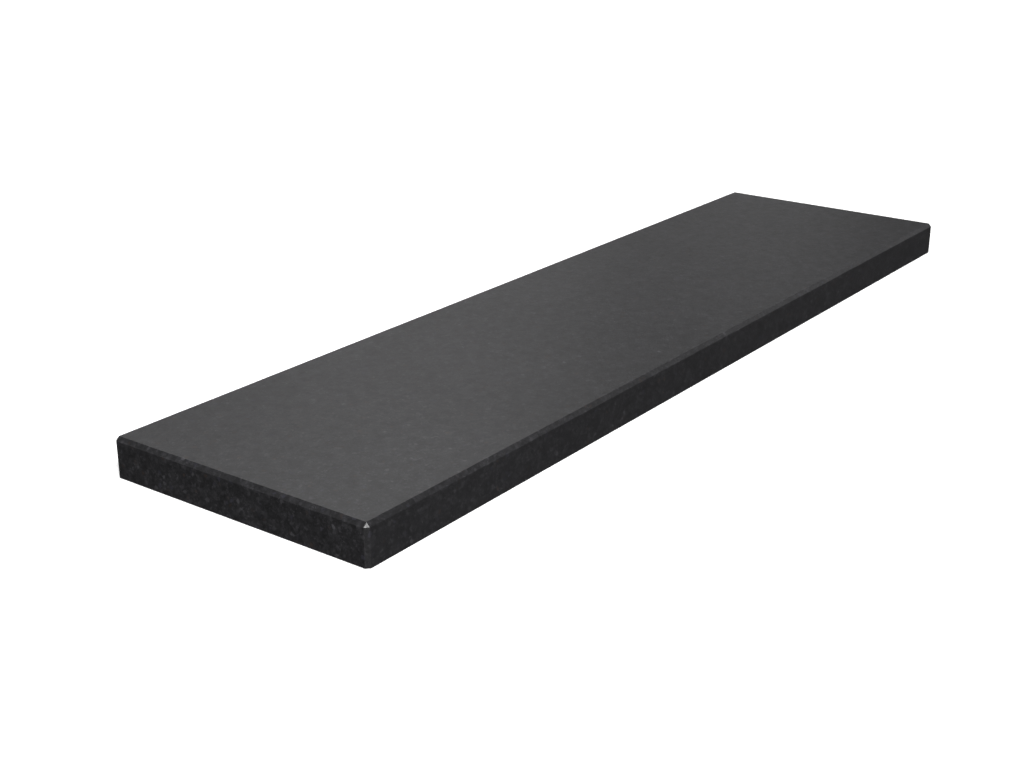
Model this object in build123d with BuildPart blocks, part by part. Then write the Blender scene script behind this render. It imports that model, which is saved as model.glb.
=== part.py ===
from build123d import *

import os

# A long, narrow granite slab: one block of dark natural stone that lies flat on a bench.
#
# Units are millimetres. The origin is the centre of the underside, +X runs along the length,
# +Y across the width and +Z up to the working face.
#
# Every edge that a hand or a hide can meet carries the same flat 45 degree arris: the four edges of the
# top face and the four upright corners. Where three of them meet, each top corner ends in a small
# triangular facet. The edges of the underside are only eased.

LENGTH = 850.0  # along X
WIDTH = 225.0  # along Y
THICKNESS = 30.0  # along Z, standard sawn slab stock
ARRIS = 2.8  # leg of the 45 degree bevel on the top edges and the upright corners
EASED = 0.5  # leg of the eased edge round the underside


with BuildPart() as granite_slab:
    with BuildSketch(Plane.XY):
        Rectangle(LENGTH, WIDTH)
    extrude(amount=THICKNESS)

    top_edges = granite_slab.faces().sort_by(Axis.Z)[-1].edges()
    upright_edges = granite_slab.edges().filter_by(Axis.Z)
    chamfer(top_edges + upright_edges, ARRIS)

    underside_edges = granite_slab.faces().sort_by(Axis.Z)[0].edges()
    chamfer(underside_edges, EASED)


granite_slab.part.label = "granite_slab"
os.makedirs("parts", exist_ok=True)
export_step(granite_slab.part, "parts/granite_slab.step")

box = granite_slab.part.bounding_box().size
print(f"granite_slab {box.X:.1f} x {box.Y:.1f} x {box.Z:.1f} mm, {len(granite_slab.faces())} faces")
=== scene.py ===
"""A long, narrow slab of dark honed granite, lying flat on a pale floor under soft studio light.

Lengths are metres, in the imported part's frame: +X along the slab, +Y across it, +Z up from its
underside.

The slab is one closed mesh. Its rim is a fine grid that runs from the top face over the bevel, down the
side and under the bottom edge. Each point of the grid is moved on to a rounded outline, so the arrises are
as softly broken, as slightly uneven and as nicked as ground stone. The flat faces inside the rim are
triangulated.
"""

import math

import bmesh
import bpy
import numpy as np
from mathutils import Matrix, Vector
from mathutils.geometry import delaunay_2d_cdt


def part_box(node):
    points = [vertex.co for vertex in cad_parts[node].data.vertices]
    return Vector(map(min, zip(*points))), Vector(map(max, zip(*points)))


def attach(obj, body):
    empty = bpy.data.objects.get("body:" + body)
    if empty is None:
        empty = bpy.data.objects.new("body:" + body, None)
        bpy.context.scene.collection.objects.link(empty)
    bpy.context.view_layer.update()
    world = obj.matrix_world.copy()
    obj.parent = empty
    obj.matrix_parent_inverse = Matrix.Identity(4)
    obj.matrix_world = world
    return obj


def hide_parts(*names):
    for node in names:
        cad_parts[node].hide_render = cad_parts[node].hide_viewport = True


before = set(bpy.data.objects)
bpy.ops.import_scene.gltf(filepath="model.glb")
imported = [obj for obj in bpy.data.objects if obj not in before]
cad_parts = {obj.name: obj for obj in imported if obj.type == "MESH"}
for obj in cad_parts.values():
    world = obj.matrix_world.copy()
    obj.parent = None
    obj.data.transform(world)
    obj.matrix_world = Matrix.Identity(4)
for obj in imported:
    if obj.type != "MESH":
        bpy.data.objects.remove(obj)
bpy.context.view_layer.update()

MM = 0.001
NODE = "granite_slab"
LOW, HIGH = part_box(NODE)
HALF_LENGTH = (HIGH.x - LOW.x) / 2
HALF_WIDTH = (HIGH.y - LOW.y) / 2
TOP = HIGH.z

ARRIS = 2.8 * MM  # leg of the 45 degree bevel on the top edges and the upright corners
EASED = 0.5 * MM  # leg of the eased edge round the underside
SOFTNESS = 0.04 * MM  # about a sixth of the radius that rounds each arris
WANDER = 0.07 * MM  # the most that a bevel strays from its true plane, by hand grinding
WAVELENGTHS = (0.31, 0.117, 0.043)  # of the wander along a bevel

COLUMN_STEP = 3.0 * MM  # spacing of the rim's columns along the sides
ROW_STEP = 2.0 * MM  # spacing of the rim's rows down the sides
BEVEL_STEP = 1.0 * MM  # spacing of its rows down a bevel, and of its columns round an upright corner
BESIDE_AN_EDGE = (0.06 * MM, 0.15 * MM, 0.3 * MM, 0.6 * MM, 1.2 * MM)  # rows and columns close to an edge
CLOSEST = 0.03 * MM  # columns closer together than this are merged
TOP_RIM = (3.2 * MM, 2.0 * MM)  # the rim's outlying rows on the top face, from its edge inwards
UNDER_RIM = 4.0 * MM  # width of the rim on the underside
FLAT_STEP = 12.5 * MM  # spacing of the points inside the flat faces
SAME_POINT = 0.002 * MM  # points closer together than this are welded
FLAT_TOLERANCE = 1e-7  # for joining up the flat faces

SEARCH_IN, SEARCH_OUT = 1.2 * MM, 0.3 * MM  # how far either way the rounded surface is looked for
HALVINGS = 26

NICKS = 56
NICK_SMALL, NICK_LARGE = 0.20 * MM, 0.50 * MM
NICK_STRETCH = 1.7  # a nick is longer along its edge than it is deep
NICK_OUT, NICK_UP = 0.45, 0.225  # how far its centre stands off the stone, in radii
NICK_COLUMNS = (-1, -0.7, -0.35, 0, 0.35, 0.7, 1)  # columns across a nick, in half lengths
FULL_WEAR = 0.25 * MM  # stone that went in this far looks fully worn

FLOOR_REACH = 8.0  # half the floor's side
FLOOR_GAP = 0.1 * MM  # keeps the floor from meeting the underside exactly

random = np.random.default_rng(5)


# ---------------------------------------------------------------- the outline of the stone

# The waves of each of the four bevels, as (wavelength, phase).
BEVELS = [[(length, random.uniform(0, 2 * math.pi)) for length in WAVELENGTHS] for _ in range(4)]


def wander(along, bevel):
    """How far a bevel strays from its plane at each distance along it."""
    waves = [np.sin(2 * math.pi * along / length + phase) for length, phase in BEVELS[bevel]]
    return WANDER * sum(waves) / len(waves)


def outline(points):
    """How far each point lies outside the slab, with every edge rounded. Inside it is negative."""
    x, y, z = points.T
    end = np.abs(x) - HALF_LENGTH
    side = np.abs(y) - HALF_WIDTH
    over = z - TOP
    corner = (end + side + ARRIS) / math.sqrt(2)
    side_wander = np.where(y < 0, wander(x, 0), wander(x, 1))
    end_wander = np.where(x < 0, wander(y, 2), wander(y, 3))
    planes = np.stack([
        end,
        side,
        over,
        -z,
        corner,
        (side + over + ARRIS) / math.sqrt(2) + side_wander,
        (end + over + ARRIS) / math.sqrt(2) + end_wander,
        (end + side + over + 2 * ARRIS) / math.sqrt(3),
        (side - z + EASED) / math.sqrt(2),
        (end - z + EASED) / math.sqrt(2),
        (corner - z + EASED) / math.sqrt(2),
    ])
    nearest = planes.max(axis=0)
    return nearest + SOFTNESS * np.log(np.exp((planes - nearest) / SOFTNESS).sum(axis=0))


def scatter_nicks():
    """Small nicks in the edges, as (centre, the edge's direction, radius). About half are at the bottom."""
    levels = [(0.0, EASED), (0.0, EASED), (0.0, TOP - ARRIS), (ARRIS, TOP)]  # each edge's inset and height
    nicks = []
    for _ in range(NICKS):
        inset, height = levels[random.integers(len(levels))]
        radius = random.uniform(NICK_SMALL, NICK_LARGE)
        outward = NICK_OUT * radius
        place = random.uniform(-1, 1)
        which = random.choice([-1, 1])
        up = NICK_UP * radius if height > TOP / 2 else -NICK_UP * radius
        if random.uniform() < HALF_LENGTH / (HALF_LENGTH + HALF_WIDTH):
            across = which * (HALF_WIDTH - inset + outward)
            centre = (place * (HALF_LENGTH - 2 * ARRIS), across, height + up)
            nicks.append((np.array(centre), np.array((1.0, 0.0, 0.0)), radius))
        else:
            across = which * (HALF_LENGTH - inset + outward)
            centre = (across, place * (HALF_WIDTH - 2 * ARRIS), height + up)
            nicks.append((np.array(centre), np.array((0.0, 1.0, 0.0)), radius))
    return nicks


def carve(points, distance, nicks):
    """Takes the nicks out of the stone: the distance becomes positive inside each of them."""
    for centre, along, radius in nicks:
        offset = points - centre
        lengthwise = offset @ along
        offset = offset - np.outer(lengthwise * (1 - 1 / NICK_STRETCH), along)
        distance = np.maximum(distance, radius - np.linalg.norm(offset, axis=1))
    return distance


def settle(points, nicks):
    """Moves each point of the hard-edged slab on to the rounded, nicked stone. Says how far each went in."""
    reach = 1.5 * ARRIS
    core_high = np.array((HALF_LENGTH - reach, HALF_WIDTH - reach, TOP - reach))
    core_low = np.array((-core_high[0], -core_high[1], reach))
    outward = points - np.clip(points, core_low, core_high)
    outward /= np.linalg.norm(outward, axis=1)[:, None]
    inner = np.full(len(points), -SEARCH_IN)
    outer = np.full(len(points), SEARCH_OUT)
    for _ in range(HALVINGS):
        middle = (inner + outer) / 2
        tried = points + outward * middle[:, None]
        outside = carve(tried, outline(tried), nicks) > 0
        outer = np.where(outside, middle, outer)
        inner = np.where(outside, inner, middle)
    return points + outward * inner[:, None], -inner


# ---------------------------------------------------------------- the rim's rows and columns


def octagon(inset, reach):
    """The slab's plan moved in by inset, each corner cut from reach on one side to reach on the next."""
    x, y = HALF_LENGTH - inset, HALF_WIDTH - inset
    cut_x, cut_y = HALF_LENGTH - reach, HALF_WIDTH - reach
    return [
        (-cut_x, -y), (cut_x, -y), (x, -cut_y), (x, cut_y),
        (cut_x, y), (-cut_x, y), (-x, cut_y), (-x, -cut_y),
    ]


def graded(length, step):
    """Distances from 0 to length, close together near both ends and step apart between them."""
    near = [d for d in BESIDE_AN_EDGE if d < length / 2]
    start = near[-1]
    count = max(1, round((length - 2 * start) / step))
    middle = np.linspace(start, length - start, count + 1)
    return np.concatenate([[0.0], near[:-1], middle, [length - d for d in near[-2::-1]], [length]])


def side_fractions(half, axis, sign, nicks):
    """Where the columns of one side stand, as fractions of it, with more of them at each nick."""
    length = 2 * (half - ARRIS)
    places = list(graded(length, COLUMN_STEP))
    for centre, along, radius in nicks:
        if along[axis] and np.sign(centre[1 - axis]) == sign:
            middle = centre[axis] + half - ARRIS
            span = NICK_STRETCH * radius
            places += [middle + span * part for part in NICK_COLUMNS]
    places = np.sort(np.clip(places, 0, length))
    apart = np.concatenate([[True], np.diff(places) > CLOSEST])
    apart[-1] = True
    return places[apart] / length


def profile():
    """The rim's rows from the top face to the underside, as (inset, corner reach, height, finish)."""
    rows = []
    for distance in TOP_RIM + BESIDE_AN_EDGE[::-1]:
        rows.append((ARRIS + distance, ARRIS + distance, TOP, "honed"))
    for distance in graded(math.sqrt(2) * ARRIS, BEVEL_STEP):
        drop = distance / math.sqrt(2)
        rows.append((ARRIS - drop, ARRIS, TOP - drop, "honed"))
    for distance in graded(TOP - ARRIS - EASED, ROW_STEP)[1:]:
        rows.append((0.0, ARRIS, TOP - ARRIS - distance, "side"))
    for distance in (EASED / 2, EASED):
        rows.append((distance, ARRIS + (math.sqrt(2) - 1) * distance, EASED - distance, "side"))
    for distance in BESIDE_AN_EDGE + (UNDER_RIM - EASED,):
        inset = EASED + distance
        rows.append((inset, ARRIS + (math.sqrt(2) - 1) * inset, 0.0, "sawn"))
    return rows


def rim_points(nicks):
    """The hard-edged rim as a grid of points, one row of them for each row of the profile."""
    cut = graded(math.sqrt(2) * ARRIS, BEVEL_STEP) / (math.sqrt(2) * ARRIS)
    fractions = [
        side_fractions(HALF_LENGTH, 0, -1, nicks), cut,
        side_fractions(HALF_WIDTH, 1, 1, nicks), cut,
        1 - side_fractions(HALF_LENGTH, 0, 1, nicks)[::-1], cut,
        1 - side_fractions(HALF_WIDTH, 1, -1, nicks)[::-1], cut,
    ]
    grid = []
    for inset, reach, height, _ in profile():
        corners = octagon(inset, reach)
        ring = []
        for index, parts in enumerate(fractions):
            start = np.array(corners[index])
            stop = np.array(corners[(index + 1) % len(corners)])
            ring.append(start + (stop - start) * parts[:-1, None])
        ring = np.concatenate(ring)
        grid.append(np.column_stack([ring, np.full(len(ring), height)]))
    return np.array(grid)


# ---------------------------------------------------------------- the mesh


def flat_face(bm, border, height, upward):
    """Fills a flat face inside a ring of vertices with evenly spaced points, and joins them up."""
    ring = [Vector(vertex.co[:2]) for vertex in border]
    inside_x = max(abs(p.x) for p in ring) - FLAT_STEP / 2
    inside_y = max(abs(p.y) for p in ring) - FLAT_STEP / 2
    inner = [
        Vector((x, y))
        for x in np.linspace(-inside_x, inside_x, round(2 * inside_x / FLAT_STEP) + 1)
        for y in np.linspace(-inside_y, inside_y, round(2 * inside_y / FLAT_STEP) + 1)
    ]
    edges = [(i, (i + 1) % len(ring)) for i in range(len(ring))]
    places, _, triangles, sources, _, _ = delaunay_2d_cdt(ring + inner, edges, [], 1, FLAT_TOLERANCE)
    vertices = []
    for place, source in zip(places, sources):
        on_border = [i for i in source if i < len(ring)]
        vertices.append(border[on_border[0]] if on_border else bm.verts.new((place.x, place.y, height)))
    for triangle in triangles:
        corners = [vertices[i] for i in triangle]
        bm.faces.new(corners if upward else corners[::-1])
    return [vertex for vertex in vertices if vertex not in set(border)]


def make_slab():
    """The whole slab as one closed mesh, with each point's finish in the colour attribute "finish"."""
    nicks = scatter_nicks()
    rows = profile()
    hard = rim_points(nicks)
    settled, sunk = settle(hard.reshape(-1, 3), nicks)
    settled, sunk = settled.reshape(hard.shape), sunk.reshape(hard.shape[:2])
    settled[0, :, 2] = TOP
    settled[-1, :, 2] = 0.0

    mesh = bpy.data.meshes.new(NODE + "_stone")
    bm = bmesh.new()
    finish = bm.verts.layers.float_color.new("finish")

    def paint(vertex, kind, wear):
        vertex[finish] = (float(kind == "honed"), float(kind == "sawn"), wear, 1.0)

    grid = []
    for (_, _, _, kind), ring, depths in zip(rows, settled, sunk):
        line = [bm.verts.new(place) for place in ring]
        for vertex, depth in zip(line, depths):
            paint(vertex, kind, min(1.0, max(0.0, depth / FULL_WEAR)))
        grid.append(line)
    for upper, lower in zip(grid, grid[1:]):
        for index in range(len(upper)):
            following = (index + 1) % len(upper)
            bm.faces.new((upper[index], lower[index], lower[following], upper[following]))
    bmesh.ops.remove_doubles(bm, verts=bm.verts, dist=SAME_POINT)

    top_ring = [vertex for vertex in grid[0] if vertex.is_valid]
    for vertex in flat_face(bm, top_ring, TOP, True):
        paint(vertex, "honed", 0.0)
    for vertex in flat_face(bm, grid[-1], 0.0, False):
        paint(vertex, "sawn", 0.0)
    for face in bm.faces:
        face.smooth = True
    bmesh.ops.recalc_face_normals(bm, faces=bm.faces)
    bm.to_mesh(mesh)
    bm.free()
    slab = bpy.data.objects.new(NODE + "_stone", mesh)
    bpy.context.scene.collection.objects.link(slab)
    return slab


# ---------------------------------------------------------------- the granite


class Nodes:
    """A short way to write a material's nodes: each call adds one and returns the output it names."""

    def __init__(self, tree):
        self.tree = tree

    def add(self, kind, settings=None, output=0, numbered=None, **named):
        """Adds a node. Its inputs are given by number or by name, each as a value or as another's output."""
        node = self.tree.nodes.new(kind)
        for name, value in (settings or {}).items():
            setattr(node, name, value)
        inputs = dict(numbered or {})
        inputs.update((name.replace("_", " "), value) for name, value in named.items())
        for key, value in inputs.items():
            if isinstance(value, bpy.types.NodeSocket):
                self.tree.links.new(value, node.inputs[key])
            else:
                node.inputs[key].default_value = value
        return node.outputs[output]

    def math(self, operation, first, second=0.0, clamp=False):
        settings = {"operation": operation, "use_clamp": clamp}
        return self.add("ShaderNodeMath", settings, numbered={0: first, 1: second})

    def vector(self, operation, first, second):
        return self.add("ShaderNodeVectorMath", {"operation": operation}, numbered={0: first, 1: second})

    def length(self, vector):
        settings = {"operation": "LENGTH"}
        return self.add("ShaderNodeVectorMath", settings, output="Value", numbered={0: vector})

    def spread(self, value, low, high, to_low=0.0, to_high=1.0):
        """Maps low..high to to_low..to_high, and holds the ends."""
        keys = {"From_Min": low, "From_Max": high, "To_Min": to_low, "To_Max": to_high}
        return self.add("ShaderNodeMapRange", {"clamp": True}, Value=value, **keys)

    def mix(self, factor, first, second, blend="MIX"):
        """Blends two colours. A colour mix has its inputs at 0, 6 and 7, and its output at 2."""
        settings = {"data_type": "RGBA", "blend_type": blend}
        return self.add("ShaderNodeMix", settings, output=2, numbered={0: factor, 6: first, 7: second})

    def scale(self, colour, factor):
        """Multiplies a colour by a number."""
        return self.mix(1.0, colour, factor, blend="MULTIPLY")

    def parts(self, colour):
        """The red, green and blue of a colour."""
        node = self.tree.nodes.new("ShaderNodeSeparateColor")
        self.tree.links.new(colour, node.inputs[0])
        return list(node.outputs)

    def finish(self, shader):
        """Sends a shader to the material's surface."""
        node = self.tree.nodes.new("ShaderNodeOutputMaterial")
        self.tree.links.new(shader, node.inputs["Surface"])

    def steps(self, value, stops):
        """A ramp that holds each colour from its own stop up to the next."""
        node = self.tree.nodes.new("ShaderNodeValToRGB")
        ramp = node.color_ramp
        ramp.interpolation = "CONSTANT"
        for index, (position, colour) in enumerate(stops):
            stop = ramp.elements[index] if index < 2 else ramp.elements.new(position)
            stop.position = position
            stop.color = (*colour, 1.0)
        self.tree.links.new(value, node.inputs[0])
        return node.outputs[0]


PYROXENE = (0.0148, 0.0145, 0.0160)
DARK_GREY = (0.0214, 0.0210, 0.0231)
MID_GREY = (0.0296, 0.0290, 0.0318)
FELDSPAR = (0.0442, 0.0432, 0.0478)
PALE_FELDSPAR = (0.0680, 0.0668, 0.0732)
BLUE_FELDSPAR = (0.0370, 0.0362, 0.0489)
BRONZE_MICA = (0.042, 0.031, 0.027)
STONE_DUST = (0.137, 0.135, 0.137)
GROUND_GREY = (0.0246, 0.0243, 0.0260)  # the minerals' mean, which finer grinding brings them nearer

LARGE_CRYSTALS, SMALL_CRYSTALS = 400.0, 980.0  # cells to the metre
CRYSTAL_BEND = 1.9 * MM  # how far a crystal's edges are bent out of straight
SAW_CENTRE = (0.35, 1.4, 0.0)  # the middle of the arcs that the saw left across the underside
SIDE_ROUGHNESS, HONED_ROUGHNESS = 0.56, 0.38
RELIEF = 0.05 * MM  # depth of the open grain


def granite():
    """Fine-grained black granite: interlocking crystals, honed above, ground at the sides, sawn below."""
    material = bpy.data.materials.new("granite")
    material.use_nodes = True
    tree = material.node_tree
    tree.nodes.clear()
    n = Nodes(tree)
    place = n.add("ShaderNodeTexCoord", output="Object")
    honed, sawn, wear = n.parts(n.add("ShaderNodeAttribute", {"attribute_name": "finish"}, output="Color"))

    # Crystals: cells of two sizes, bent so that no edge is straight.
    bend = n.add("ShaderNodeTexNoise", output="Color", Vector=place, Scale=520.0, Detail=2.0)
    bend = n.vector("MULTIPLY", n.vector("SUBTRACT", bend, (0.5, 0.5, 0.5)), (CRYSTAL_BEND,) * 3)
    bent = n.vector("ADD", place, bend)
    large = n.add("ShaderNodeTexVoronoi", output="Color", Vector=bent, Scale=LARGE_CRYSTALS)
    small = n.add("ShaderNodeTexVoronoi", output="Color", Vector=bent, Scale=SMALL_CRYSTALS)
    edges = {"feature": "DISTANCE_TO_EDGE"}
    seam = n.add("ShaderNodeTexVoronoi", edges, Vector=bent, Scale=LARGE_CRYSTALS)
    kind, shade, choice = n.parts(large)
    small_kind = n.parts(small)[0]

    large_colour = n.steps(kind, [
        (0.0, PYROXENE), (0.36, DARK_GREY), (0.62, MID_GREY), (0.82, FELDSPAR),
        (0.93, PALE_FELDSPAR), (0.955, BLUE_FELDSPAR), (0.98, BRONZE_MICA),
    ])
    small_colour = n.steps(small_kind, [
        (0.0, PYROXENE), (0.30, DARK_GREY), (0.60, MID_GREY), (0.84, FELDSPAR), (0.965, PALE_FELDSPAR),
    ])
    colour = n.mix(n.spread(choice, 0.25, 0.75, 0.25, 0.75), large_colour, small_colour)
    colour = n.scale(colour, n.spread(shade, 0.0, 1.0, 0.75, 1.25))
    colour = n.scale(colour, n.spread(seam, 0.0, 0.12, 0.72, 1.0))

    # Patches a few crystals wide are a little paler or darker.
    mottle = n.add("ShaderNodeTexNoise", Vector=place, Scale=105.0, Detail=3.0)
    colour = n.scale(colour, n.spread(mottle, 0.3, 0.7, 0.7, 1.3))

    # The top and the long sides are ground finer than the ends, so their crystals show less. The whole
    # stone drifts slightly in tone from one hand's breadth to the next.
    normal = n.add("ShaderNodeTexCoord", output="Normal")
    across = n.add("ShaderNodeSeparateXYZ", output="Y", Vector=normal)
    fine = n.spread(n.math("ABSOLUTE", across), 0.3, 0.9, 0.0, 0.5)
    fine = n.math("MAXIMUM", fine, n.math("MULTIPLY", honed, 0.2))
    colour = n.mix(fine, colour, (*GROUND_GREY, 1.0))
    drift = n.add("ShaderNodeTexNoise", Vector=place, Scale=14.0, Detail=3.0)
    colour = n.scale(colour, n.spread(drift, 0.3, 0.7, 0.9, 1.1))

    # Sawn stone is paler, with the saw's faint curved tracks. Worn arrises and nicks hold a little dust.
    centre = n.vector("SUBTRACT", place, SAW_CENTRE)
    radius = n.length(centre)
    track = n.add("ShaderNodeTexNoise", {"noise_dimensions": "1D"}, W=radius, Scale=260.0, Detail=4.0)
    patch = n.add("ShaderNodeTexNoise", Vector=place, Scale=9.0, Detail=2.0)
    track = n.math("MULTIPLY", n.spread(track, 0.3, 0.7), n.spread(patch, 0.35, 0.65, 0.4, 1.0))
    track = n.math("MULTIPLY", track, sawn)
    broken = n.add("ShaderNodeTexNoise", Vector=place, Scale=1500.0, Detail=3.0)
    pale = n.math("MULTIPLY", sawn, n.spread(track, 0.0, 1.0, 0.40, 0.56))
    dust = n.math("MULTIPLY", wear, n.spread(broken, 0.4, 0.65, 0.0, 0.25))
    colour = n.mix(n.math("MAXIMUM", pale, dust, clamp=True), colour, (*STONE_DUST, 1.0))

    # Honed faces are satin. Dark minerals are a shade glossier than pale ones, and pale patches than dark.
    rough = n.spread(honed, 0.0, 1.0, SIDE_ROUGHNESS, HONED_ROUGHNESS)
    rough = n.math("ADD", rough, n.spread(kind, 0.0, 1.0, -0.03, 0.03))
    rough = n.math("ADD", rough, n.spread(broken, 0.3, 0.7, -0.03, 0.03))
    rough = n.math("ADD", rough, n.spread(mottle, 0.3, 0.7, 0.008, -0.008))
    rough = n.math("ADD", rough, n.math("MULTIPLY", n.math("MAXIMUM", sawn, wear), 0.22), clamp=True)

    # Relief: open grain between the crystals, fine pits, and the saw's tracks below.
    pits = n.spread(n.add("ShaderNodeTexNoise", Vector=place, Scale=2200.0, Detail=2.0), 0.3, 0.7)
    relief = n.math("ADD", n.spread(seam, 0.0, 0.1, 0.0, 0.6), n.math("MULTIPLY", pits, 0.4))
    relief = n.math("MULTIPLY", relief, n.spread(honed, 0.0, 1.0, 1.0, 0.25))
    relief = n.math("ADD", relief, n.math("MULTIPLY", track, 0.5))
    normal = n.add("ShaderNodeBump", Strength=0.6, Distance=RELIEF, Height=relief)

    n.finish(n.add("ShaderNodeBsdfPrincipled", Base_Color=colour, Roughness=rough, Normal=normal))
    return material


# ---------------------------------------------------------------- the studio


def aim(thing, target):
    """Turns a camera or a lamp to face a point."""
    thing.rotation_euler = (Vector(target) - thing.location).to_track_quat("-Z", "Y").to_euler()


def around(target, azimuth, elevation, distance):
    """A point seen from target at an azimuth in degrees, where 0 is on the -Y side and 90 on the +X side."""
    turn, lift = math.radians(azimuth), math.radians(elevation)
    away = Vector((math.sin(turn) * math.cos(lift), -math.cos(turn) * math.cos(lift), math.sin(lift)))
    return Vector(target) + distance * away


def softbox(name, target, azimuth, elevation, distance, size, watts):
    """A square area lamp that faces its target."""
    lamp = bpy.data.lights.new(name, "AREA")
    lamp.size = size
    lamp.energy = watts
    thing = bpy.data.objects.new(name, lamp)
    bpy.context.scene.collection.objects.link(thing)
    thing.location = around(target, azimuth, elevation, distance)
    aim(thing, target)


FLOOR_GLOW = (0.65, 1.0)  # near the slab and far from it
FLOOR_FADE = (0.8, 5.0)  # where the glow starts to grow and where it is full


def make_floor():
    """A white floor, seen from above only. It glows more far away, so its edge melts into the white room."""
    mesh = bpy.data.meshes.new("floor")
    bm = bmesh.new()
    bmesh.ops.create_grid(bm, x_segments=1, y_segments=1, size=FLOOR_REACH)
    bm.to_mesh(mesh)
    bm.free()
    floor = bpy.data.objects.new("floor", mesh)
    floor.location.z = -FLOOR_GAP
    bpy.context.scene.collection.objects.link(floor)
    material = bpy.data.materials.new("white_floor")
    material.use_nodes = True
    tree = material.node_tree
    tree.nodes.clear()
    n = Nodes(tree)
    place = n.add("ShaderNodeTexCoord", output="Object")
    away = n.length(place)
    glow = n.spread(away, *FLOOR_FADE, *FLOOR_GLOW)
    white = (1.0, 1.0, 1.0, 1.0)
    paint = {"Base_Color": (0.9, 0.9, 0.9, 1.0), "Roughness": 0.9, "Emission_Color": white}
    above = n.add("ShaderNodeBsdfPrincipled", Emission_Strength=glow, **paint)
    below = n.add("ShaderNodeBsdfTransparent")
    from_below = n.add("ShaderNodeNewGeometry", output="Backfacing")
    n.finish(n.add("ShaderNodeMixShader", numbered={0: from_below, 1: above, 2: below}))
    mesh.materials.append(material)
    floor.visible_glossy = False
    floor.visible_diffuse = False
    floor.visible_shadow = False
    return floor


CAMERA_TARGET = (-0.1884, -0.0431, TOP)
CAMERA_PLACE = {"azimuth": -53.5, "elevation": 20.86, "distance": 1.1144}


def make_camera():
    """In front of the slab's left end, looking down its length."""
    data = bpy.data.cameras.new("camera")
    data.lens = 54.0
    data.sensor_width = 36.0
    camera = bpy.data.objects.new("camera", data)
    bpy.context.scene.collection.objects.link(camera)
    camera.location = around(CAMERA_TARGET, **CAMERA_PLACE)
    aim(camera, CAMERA_TARGET)
    bpy.context.scene.camera = camera


# Softboxes round the slab, as (name, azimuth, elevation, size, watts). Those behind it put a sheen on its
# top for the camera, and the others do so for whoever looks from another side. The ones below the floor
# stand for the light that it sends back on to the slab's sides.
SOFTBOXES = [
    ("back_right", 110.0, 20.0, 1.2, 1.1),
    ("back_right_low", 118.0, 8.0, 1.0, 1.2),
    ("back_low", 133.0, 15.0, 1.2, 2.0),
    ("back_high", 133.0, 38.0, 1.2, 8.8),
    ("back_left", 155.0, 35.0, 1.2, 8.6),
    ("left", 225.0, 20.0, 1.6, 8.0),
    ("front_right", 45.0, 18.0, 1.6, 2.6),
    ("right", 80.0, 25.0, 1.5, 5.9),
    ("bounce_back", 180.0, -8.0, 0.8, 39.0),
    ("bounce_left", 270.0, -8.0, 0.8, 5.0),
    ("bounce_right", 100.0, -8.0, 0.8, 20.0),
    ("bounce_front", -37.0, -21.0, 0.8, 6.0),
]
SOFTBOX_DISTANCE = 4.0

FILL = 1.0  # watts on each square metre of the underside
ROOM = (0.051, 0.031)  # the dim room's grey below and above its horizon
HORIZON = 0.05  # half the height over which one turns into the other


def make_light():
    """A key light over the camera's right shoulder, weak softboxes all round, and a fill from below.

    The room is a dim grey to the slab. The camera sees it as white, so that it carries on from the floor.
    """
    near_corner = (-HALF_LENGTH, -HALF_WIDTH, TOP)
    softbox("key", near_corner, azimuth=-32.9, elevation=48.8, distance=6.0, size=1.1, watts=408.0)
    for name, azimuth, elevation, size, watts in SOFTBOXES:
        softbox(name, (0.0, 0.0, TOP), azimuth, elevation, SOFTBOX_DISTANCE, size, watts)
    fill = bpy.data.objects.new("fill", bpy.data.lights.new("fill", "SUN"))
    fill.rotation_euler.x = math.pi
    fill.data.energy = FILL
    bpy.context.scene.collection.objects.link(fill)

    world = bpy.data.worlds.new("studio")
    world.use_nodes = True
    tree = world.node_tree
    n = Nodes(tree)
    direction = n.add("ShaderNodeTexCoord", output="Generated")
    height = n.add("ShaderNodeSeparateXYZ", output="Z", Vector=direction)
    grey = n.spread(height, -HORIZON, HORIZON, *ROOM)
    seen = n.add("ShaderNodeLightPath", output="Is Camera Ray")
    tree.links.new(n.math("MAXIMUM", grey, seen), tree.nodes["Background"].inputs["Color"])
    bpy.context.scene.world = world


slab = make_slab()
slab.data.materials.append(granite())
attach(slab, "root")
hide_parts(NODE)
make_floor()
make_camera()
make_light()
bpy.context.scene.view_settings.view_transform = "Standard"
